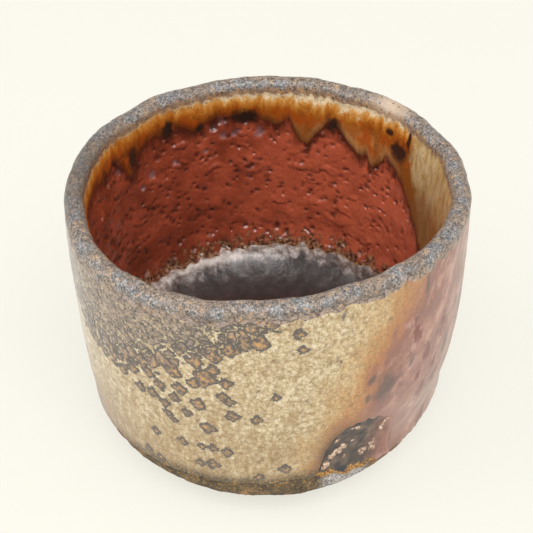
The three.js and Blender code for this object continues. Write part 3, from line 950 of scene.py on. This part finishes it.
# %% Finish of the outer glaze
def ash_glaze():
    finish, put = new_finish("crackled_ash_glaze")
    place, spot, crust, blush, red_mark, soot, above_line, beaded, scar, lower_left_brown_and_shade, pale = read(
        put, "spot", "crust", "blush", "red_mark", "soot", "above_line", "beaded", "scar", "lower_left_brown_and_shade", "pale")
    hung = put("Mapping", Vector=place, Scale=(1, 1, 0.25))
    leaning = put("Mapping", vector_type="TEXTURE", Vector=place, Rotation=(-0.43, 0.3, 0),
                  Scale=(1, 1, 1.8))
    fine, grain, flecks, broad, streaks, mottle, veil = each(
        put, "TexNoise", (place, per_mm(0.4), 3, 0.65), (place, per_mm(0.95), 4, 0.65),
        (place, per_mm(0.7), 3, 0.6), (place, per_mm(5), 3), (hung, per_mm(1.4), 4, 0.6),
        (leaning, per_mm(1.2), 5, 0.72), (leaning, per_mm(3.2), 5, 0.62))
    red, sooty, near, singed, low, frayed = each(
        put, "Math", (mottle, 3.4, red_mark), (mottle, 3.0, soot), (broad, -4.0, scar),
        (flecks, -3.0, scar), (grain, -3.0, above_line), (fine, 1.3, spot), operation="MULTIPLY_ADD")

    # Crackle: cream patches on khaki, parted by thin stained lines of two sizes
    crooked = bent(put, place, 1.1, 0.6)
    wide, narrow = each(put, "TexVoronoi", (crooked, per_mm(1.1)), (crooked, per_mm(0.65)),
                        feature="DISTANCE_TO_EDGE")
    drawn = each(put, "MapRange", (wide, 0, 0.16, 1, 0), (narrow, 0, 0.2, 0.6, 0))
    lines = put("Math", *drawn, operation="MAXIMUM")
    crackle = put("Math", lines, put("MapRange", grain, 0.64, 0.4, 0.2, 0.95), operation="MULTIPLY")
    patchy = put("Math", fine, 0.5, grain, operation="MULTIPLY_ADD")
    hang = put("Math", put("MapRange", above_line, 24, 2, 0, 0.22), streaks, operation="ADD")
    straw = put("ValToRGB", patchy, stops=((0.5, "#b09b73"), (1.0, "#e2d7bf"), (0.75, "#c9b691")))

    # Flame side: straw turns to ochre, terracotta and mauve, along an edge that wanders and streaks
    wander = blush
    for noise, reach in ((streaks, 0.5), (broad, 0.5), (grain, 0.3)):
        wander = put("Math", noise, reach, wander, operation="MULTIPLY_ADD")
    flashed = put("ValToRGB", wander, stops=(
        (0.08, "#c4a26e"), (1.0, "#9c7061"), (0.28, "#bb8e59"), (0.46, "#ad7347"), (0.58, "#98624a"),
        (0.7, "#88594b"), (0.84, "#8f6254")))
    mauve = put("MapRange", wander, 0.5, 0.75)
    burnt = layered(put, paint("#8b6132"), ("#8d6153", (wander, 0.3, 0.8)))

    # Spots with dark ragged rims and ochre middles, the grainy crust they fuse into, and the dark bead
    covered = put("MapRange", frayed, 0.72, 0.56)
    ochre = put("ValToRGB", flecks, stops=((0.4, "#5b4d42"), (0.64, "#ba8c52"), (0.52, "#92775b")))
    crumbled = put("Mix", data_type="FLOAT", Factor=0.5, A=fine, B=flecks)
    grains = put("ValToRGB", crumbled, stops=(
        (0.4, "#3f3731"), (0.62, "#c4b39c"), (0.47, "#72655b"), (0.54, "#92816f")))
    crumbs = layered(put, grains, ("#ab968c", (broad, 0.5, 0.64, 0, 0.4)),
                     ("#b98549", (flecks, 0.6, 0.68, 0, 0.7)))
    middle = layered(put, ochre, (crumbs, (crust, 0, 0.5)))
    spotted = layered(put, paint("#544c46"), (middle, (frayed, 0.28, -0.2)))
    speckled = put("ValToRGB", fine, stops=((0.42, "#40372a"), (0.68, "#b3873f"), (0.55, "#63523a")))
    holes = put("TexVoronoi", Vector=place, Scale=per_mm(4.2))
    colour = layered(
        put, straw,
        ("#9a7c50", (hang, 0.46, 0.78, 0, 0.8)),
        (flashed, (wander, -0.15, 0.3)),
        ("#775b31", crackle, (wander, 0.35, 0.8, 0.85, 0)),
        ("#7f5750", mauve, (veil, 0.5, 0.6, 0, 0.7)),
        ("#ba9283", mauve, (veil, 0.48, 0.38, 0, 0.7)),
        ("#70332b", (red, 2.1, 2.45, 0, 0.85)),
        ("#5a4842", (sooty, 1.65, 2.4, 0, 0.85)),
        # mauve-brown at the lower left, partly painted shade
        ("#8c6b59", (lower_left_brown_and_shade, 0.1, 1, 0, 0.8)),
        (burnt, (near, 2.2, -1.7, 0, 0.92)),
        ("#5b4636", (singed, 0.1, -1.5, 0, 0.75), (wander, 0.6, 0.35)),
        ("#3d3428", (holes, 0.055, 0.035, 0, 0.8)),
        (speckled, (low, 1.2, -0.6, 0, 0.95), beaded),
        (spotted, covered),
        (crumbs, (crust, 0.5, 1.2)),
        # painted sheen over the upper left
        ("#d3cfd0", pale, (grain, 0.35, 0.6, 0.3, 0.6)),
    )
    height = put("Math", crackle, -0.6, fine, operation="MULTIPLY_ADD")
    gloss = put("MapRange", covered, 0, 1, 0.36, 0.48)
    return surfaced(finish, put, colour, height, 0.25, 0.06, Roughness=gloss, IOR=1.55,
                    Coat_Weight=0.25, Coat_Roughness=0.22)


# %% [markdown]
# ## Dry ash crust
#
# The lip caught the most ash and the strongest flame, and it stayed dry: grains of grey, tan, black
# and orange, a third of a millimetre wide. A blue-grey band of painted highlight runs round its crest,
# and near the outer glaze the crust is cracked.

# %% Finish of the lip
def ash_crust():
    finish, put = new_finish("dry_ash_crust")
    place, sooted, tanned, from_ash, to_glaze, painted_crest_highlight = read(
        put, "sooted", "tanned", "from_ash", "to_glaze", "painted_crest_highlight")
    grit, patch, flecks = each(
        put, "TexNoise", (place, per_mm(0.36), 4, 0.75), (place, per_mm(3.5), 4, 0.6),
        (place, per_mm(0.9), 3, 0.6))
    steely, fray_in, fray_out = each(
        put, "Math", (painted_crest_highlight, 0.12, patch), (flecks, -3.0, from_ash), (patch, -5.0, to_glaze),
        operation="MULTIPLY_ADD")
    mixed = put("Mix", data_type="FLOAT", Factor=0.3, A=grit, B=flecks)
    grains = put("ValToRGB", mixed, stops=(
        (0.38, "#3b332e"), (0.64, "#c4b5a3"), (0.47, "#73665b"), (0.54, "#928172")))
    steel = put("ValToRGB", mixed, stops=((0.38, "#38393b"), (0.63, "#bbbdbf"), (0.5, "#737578")))
    crooked = bent(put, place, 1.5, 1.2)
    cracks = put("TexVoronoi", feature="DISTANCE_TO_EDGE", Vector=crooked, Scale=per_mm(2.8))
    specks = put("TexVoronoi", Vector=place, Scale=per_mm(1.1))
    colour = layered(
        put, grains,
        # painted highlight along the crest, in steel blue-grey
        (steel, (steely, 0.53, 0.68, 0, 0.75)),
        ("#a88f76", (steely, 0.48, 0.36, 0, 0.4)),
        ("#ab9488", (fray_out, -0.8, -2.2, 0, 0.45)),
        ("#453932", (cracks, 0, 0.07, 0.85, 0), (to_glaze, 2.8, 1.2)),
        ("#dcc2a6", (tanned, 0.2, 1, 0, 0.65)),
        ("#a67a4e", (fray_in, 0.2, -1.2, 0, 0.55)),
        ("#bb8647", (flecks, 0.6, 0.68, 0, 0.7)),
        ("#332d29", (specks, 0.22, 0.14, 0, 0.85)),
        ("#4d443e", (sooted, 0, 1, 0, 0.55)),
    )
    return surfaced(finish, put, colour, grit, 0.6, 0.12, Roughness=0.36, IOR=1.5)


# %% [markdown]
# ## Iron-red glaze
#
# Inside, a glossy red glaze full of iron. Its body wanders between dark red and brick, with painted light
# that brightens the right and painted shade that darkens the left and the low back left. The pits are
# almost black, partly with painted shade, the creases carry painted shade, a few craters hold a painted
# lilac-grey reflection, and near the pool the red breaks up into brown and ochre flecks.

# %% Finish of the inner glaze
def iron_red():
    finish, put = new_finish("iron_red_glaze")
    place, pit_tint_and_shade, crater_reflection, below_ash, above_pool, drip, glow = read(
        put, "pit_tint_and_shade", "crater_reflection", "below_ash", "above_pool", "drip", "glow")
    hung = put("Mapping", Vector=place, Scale=(1, 1, 0.25))
    broad, fine, flecks, streaks = each(
        put, "TexNoise", (place, per_mm(5), 4), (place, per_mm(0.7), 3), (place, per_mm(1.8), 4, 0.6),
        (hung, per_mm(1.2), 3))
    # tone: the red's wander, with glow adding painted light at the right and painted shade at the left
    tone, edge, broken = each(
        put, "Math", (glow, 0.56, broad), (streaks, -6.0, below_ash), (flecks, -12.0, above_pool),
        operation="MULTIPLY_ADD")
    brick = put("ValToRGB", tone, stops=((0.38, "#6c2f1c"), (1.05, "#b2553a"), (0.7, "#91412a")))
    brown = put("ValToRGB", fine, stops=((0.36, "#2c211d"), (0.68, "#a87d57"), (0.5, "#6d4833")))
    colour = layered(
        put, brick,
        ("#6a2a17", (fine, 0.5, 0.75, 0, 0.4)),
        # the pits darkened, partly painted shade, and painted shade along the creases
        ("#371a18", (pit_tint_and_shade, 0.2, 0.9, 0, 0.85)),
        # painted lilac-grey reflection in the craters
        ("#806466", (crater_reflection, 0.2, 0.9, 0, 0.65)),
        ("#481e11", (edge, 0.2, -2.6, 0, 0.92)),
        (brown, (broken, -3, -5.4, 0, 0.95)),
        ("#2a1b14", (drip, 0.25, -0.35, 0, 0.95)),
    )
    return surfaced(finish, put, colour, fine, 0.2, 0.1, Roughness=0.18, IOR=1.55)


# %% [markdown]
# ## Amber ash runs
#
# Ash that ran down from the lip inside: cream where it is thin under the lip, then amber streaks with
# orange and red-brown blots. Some tongues are golden with a pale rim, some end nearly black, and a pale
# curtain hangs on the right wall, with deep brown ash beside it.

# %% Finish of the ash runs
def amber_ash():
    finish, put = new_finish("amber_ash_run")
    place, above_edge, below_lip, drip, curtain, cream, golden = read(
        put, "above_edge", "below_lip", "drip", "curtain", "cream", "golden")
    melt, runs, long_runs = (
        put("TexNoise", Vector=put("Mapping", Vector=place, Scale=(1, 1, squeeze)), Scale=per_mm(size),
            Detail=5, Roughness=0.6, Distortion=0.6)
        for squeeze, size in ((0.55, 2.4), (0.25, 1.2), (0.14, 1.9)))
    fine, blots = each(put, "TexNoise", (place, per_mm(0.5), 2), (place, per_mm(3.2), 3, 0.6))
    fall = put("MapRange", cream, 0, 1, 0.7, -1.5)
    for noise, reach in ((melt, 7.0), (runs, 2.6)):
        swing = put("Math", noise, 0.5, operation="SUBTRACT")
        fall = put("Math", swing, reach, fall, operation="MULTIPLY_ADD")
    fall = put("Math", fall, below_lip, operation="ADD")
    amber = put("ValToRGB", put("MapRange", fall, -0.5, 5.2), stops=(
        (0.0, "#dcc59f"), (1.0, "#67300f"), (0.13, "#cc9a58"), (0.28, "#bc7c33"), (0.5, "#a65f1c"),
        (0.75, "#884612")))
    tongue = put("Math", put("MapRange", below_lip, 4, 7), golden, operation="MULTIPLY")
    rim, swayed, gritty, sunken = each(
        put, "Math", (runs, -3.0, above_edge), (melt, 4.0, curtain), (fine, -3.0, below_lip),
        (long_runs, 18.0, below_lip), operation="MULTIPLY_ADD")
    brim = put("Math", tongue, 0.4, rim, operation="MULTIPLY_ADD")
    folds = put("Mix", data_type="FLOAT", Factor=0.5, A=long_runs, B=melt)
    pale = put("ValToRGB", folds, stops=(
        (0.38, "#94743f"), (0.64, "#cdb78f"), (0.48, "#b3945f"), (0.55, "#c0a578")))
    colour = layered(
        put, amber,
        ("#a8927a", (gritty, -0.8, -1.5, 0, 0.55)),
        ("#c67a3c", tongue, (melt, 0.38, 0.58, 0.45, 0.9)),
        ("#a2480f", (blots, 0.48, 0.6, 0, 0.8), (below_lip, 1.4, 3.2)),
        ("#c39a66", tongue, (rim, 1.2, -0.6, 0, 0.45)),
        ("#854a17", (swayed, -6, -1, 0, 0.9), (below_lip, 5, 9)),
        (pale, (swayed, 1.2, 2.8, 0, 0.95)),
        ("#7b4716", (sunken, 15.5, 23, 0, 0.85)),
        ("#5a2a10", (brim, 0.5, -1.5, 0, 0.8)),
        ("#4e3014", (fine, 0.6, 0.7, 0, 0.5)),
        ("#2a1b14", (drip, 0.25, -0.35, 0, 0.95)),
    )
    return surfaced(finish, put, colour, melt, 0.5, 0.3, Roughness=0.24, IOR=1.52)


# %% [markdown]
# ## Gunmetal pool
#
# The glaze that gathered on the floor cooled to a dark brown-grey with an almost metallic gloss. A pale
# grey band of fine crystal lines its edge, partly painted highlight and brightest at the back left, with
# painted glints in it, and outside it lies a seam of tan.

# %% Finish of the floor pool
def gunmetal():
    finish, put = new_finish("gunmetal_glaze")
    place, to_edge, painted_highlight_back, glint = read(put, "to_edge", "painted_highlight_back", "glint")
    cloud, fine = each(put, "TexNoise", (place, per_mm(2.4), 5, 0.65), (place, per_mm(1.3), 2))
    edge, painted_glints = each(
        put, "Math", (cloud, -3.5, to_edge), (cloud, 2.0, glint), operation="MULTIPLY_ADD")
    dark = put("ValToRGB", cloud, stops=((0.3, "#2d2320"), (0.75, "#4a3a36"), (0.5, "#392d2a")))
    dull = put("ValToRGB", fine, stops=((0.36, "#6b5b55"), (0.68, "#c4b2a8"), (0.5, "#8d7b73")))
    bright = put("ValToRGB", fine, stops=((0.36, "#8b7b73"), (0.66, "#e8ddd5"), (0.5, "#b3a299")))
    # the pale band at the pool's edge: fine crystal, partly painted highlight, whiter at the back
    frost_and_highlight = layered(put, dull, (bright, painted_highlight_back))
    colour = layered(
        put, dark,
        (frost_and_highlight, (edge, 1, -1.3, 0, 0.85)),
        # painted glints along the back edge
        ("#efe5dd", (painted_glints, 1.35, 2.1, 0, 0.7)),
        ("#94704f", (edge, -1.5, -1.95, 0, 0.85)),
    )
    gloss = put("MapRange", to_edge, 1.4, 3.6, 0.2, 0.36)
    return surfaced(finish, put, colour, fine, 0.5, 0.3, Roughness=gloss, IOR=1.48)


# %% [markdown]
# ## Bare stoneware and scorched clay
#
# Unglazed clay is matt and grainy: dark brown with orange flashing, and ash grey under the scar. In
# the scar it is burnt to charcoal, with cream and pink grit stuck in it, a ruddy right end and an
# ochre bead of glaze along its foot.

# %% Finishes of the clay and the scar
def bare_stoneware():
    finish, put = new_finish("bare_stoneware")
    place, grey, warm = read(put, "grey", "warm")
    patch, grain = each(put, "TexNoise", (place, per_mm(3), 4, 0.6), (place, per_mm(0.5), 3))
    clay = put("ValToRGB", patch, stops=(
        (0.36, "#453a2e"), (0.74, "#b58250"), (0.52, "#5f503b"), (0.62, "#836847")))
    ashen = put("ValToRGB", grain, stops=((0.35, "#6f6b6c"), (0.65, "#c2bdbb")))
    colour = layered(
        put, clay,
        ("#a9813f", (grain, 0.56, 0.66, 0, 0.75)),
        ("#966e5c", (warm, 0.2, 0.9, 0, 0.85)),
        (ashen, (grey, 0.3, 0.7, 0, 0.95)),
        ("#40362e", (grain, 0.44, 0.36, 0, 0.6)),
    )
    return surfaced(finish, put, colour, grain, 0.7, 0.15, Roughness=0.85)


def scorched_clay():
    finish, put = new_finish("scorched_clay")
    place, grit, within, above_foot, ruddy = read(put, "grit", "inside", "above_foot", "ruddy")
    patch, fine = each(put, "TexNoise", (place, per_mm(2), 5), (place, per_mm(0.5), 3))
    foot, stuck = each(
        put, "Math", (patch, -2.4, above_foot), (fine, 0.6, grit), operation="MULTIPLY_ADD")
    charcoal = put("ValToRGB", patch, stops=((0.3, "#3b3431"), (0.72, "#7d6a5a"), (0.52, "#574c45")))
    ochre = put("ValToRGB", fine, stops=((0.38, "#5d4426"), (0.64, "#bd8d4a"), (0.5, "#946a34")))
    cream = put("ValToRGB", fine, stops=((0.38, "#7c5f4e"), (0.66, "#e0ccb5"), (0.52, "#b89a84")))
    # painted shade: a dark band just inside the scar's edge, where it steps down from the glaze, over the
    # edge's own dark line; at the ruddy end a light tint instead, painted sheen to match the glaze beside
    # it
    rim = layered(put, paint("#2e3136"), ("#a88377", ruddy))
    colour = layered(
        put, charcoal,
        ("#976a5c", (patch, 0.35, 0.6, 0.6, 1), ruddy),
        # painted shade along the inside of the scar's edge
        (rim, (within, 0, 1.2, 0.85, 0)),
        (ochre, (foot, 0, -0.6)),
        (cream, (stuck, 0.6, 0.95)),
    )
    return surfaced(finish, put, colour, fine, 0.7, 0.15, Roughness=0.55)


# %% [markdown]
# ## Dressing the pieces
#
# Each piece gets its finish, rides on the cup's only body and stands for the CAD node of the same
# name, which is hidden.

# %% Give every piece its finish
stoneware = bare_stoneware()
finishes = {
    "floor_pool": gunmetal(),
    "inner_glaze": iron_red(),
    "ash_runs": amber_ash(),
    "lip_coat": ash_crust(),
    "outer_glaze": ash_glaze(),
    "kiln_scar": scorched_clay(),
    "clay_wall": stoneware,
    "clay_base_disc": stoneware,
    "foot_ring": stoneware,
}
for name, piece in pieces.items():
    piece.data.materials.append(finishes[name])
    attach(piece, "root")
    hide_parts(name)
print("Dressed", len(pieces), "pieces")

# %% [markdown]
# ## Floor, light and camera
#
# The cup stands on a plain pale floor. Seen by the camera the floor is partly its own light, which
# keeps it even and pale, and partly lit paper, which keeps the cup's soft shadow. Two large soft
# lamps at the sides and one overhead light the cup, and a long lens looks down at it.

# %% Floor
FLOOR_COLOUR = "#faf8ed"
FLOOR_SIZE = 4.0
GLOW = 0.95
GLOW_SHARE = 0.77


def pale_floor():
    finish, put = new_finish("pale_paper")
    seen = 0
    for ray in ("Is Camera Ray", "Is Glossy Ray", "Is Transmission Ray"):
        seen = put("Math", seen, put("LightPath", out=ray), operation="MAXIMUM")
    paper = put("BsdfDiffuse", Color=paint(FLOOR_COLOUR))
    glow = put("Emission", Color=paint(FLOOR_COLOUR), Strength=GLOW)
    even = put("MixShader", GLOW_SHARE, paper, glow)
    shader = put("MixShader", seen, paper, even)
    put("OutputMaterial", Surface=shader)
    return finish


sheet = np.array([(-1, -1, 0), (1, -1, 0), (1, 1, 0), (-1, 1, 0)]) * FLOOR_SIZE / 2
floor_mesh = bpy.data.meshes.new("floor")
floor_mesh.from_pydata(sheet.tolist(), [], [(0, 1, 2, 3)])
floor = bpy.data.objects.new("floor", floor_mesh)
bpy.context.collection.objects.link(floor)
floor_mesh.materials.append(pale_floor())

# %% Light and camera
scene = bpy.context.scene
scene.view_settings.view_transform = "Standard"
world = bpy.data.worlds.new("soft_room")
world.use_nodes = True
world.node_tree.nodes.clear()
room = add(world.node_tree, "Background", Color=paint("#ffffff"), Strength=0.55)
add(world.node_tree, "OutputWorld", Surface=room)
scene.world = world


def soft_lamp(name, place, size, power):
    """A square lamp at a place in metres, turned to the cup's middle."""
    lamp = bpy.data.lights.new(name, "AREA")
    lamp.size = size
    lamp.energy = power
    holder = bpy.data.objects.new(name, lamp)
    bpy.context.collection.objects.link(holder)
    holder.location = place
    aim = holder.location.copy()
    aim.z -= CUP_HEIGHT / 2 * MM
    holder.rotation_euler = aim.to_track_quat("Z", "Y").to_euler()


soft_lamp("left_lamp", (-0.75, -0.15, 0.5), 0.7, 4.2)
soft_lamp("right_lamp", (0.8, -0.05, 0.5), 0.7, 2.2)
soft_lamp("top_lamp", (0.1, -0.55, 0.8), 0.6, 6.0)

CAMERA_DROP = np.radians(38.36)
CAMERA_DISTANCE = 0.4
AIM = np.array([-0.18, 0.0, 35.68]) * MM
FOCAL_PIXELS = 2049.6
FRAME_PIXELS = 533
camera = bpy.data.cameras.new("camera")
camera.sensor_width = 36.0
camera.lens = camera.sensor_width * FOCAL_PIXELS / FRAME_PIXELS
eye = bpy.data.objects.new("camera", camera)
bpy.context.collection.objects.link(eye)
eye.location = AIM + CAMERA_DISTANCE * np.array([0, -np.cos(CAMERA_DROP), np.sin(CAMERA_DROP)])
eye.rotation_euler = (np.pi / 2 - CAMERA_DROP, 0, 0)
scene.camera = eye
print("Lens, mm:", round(camera.lens, 1))
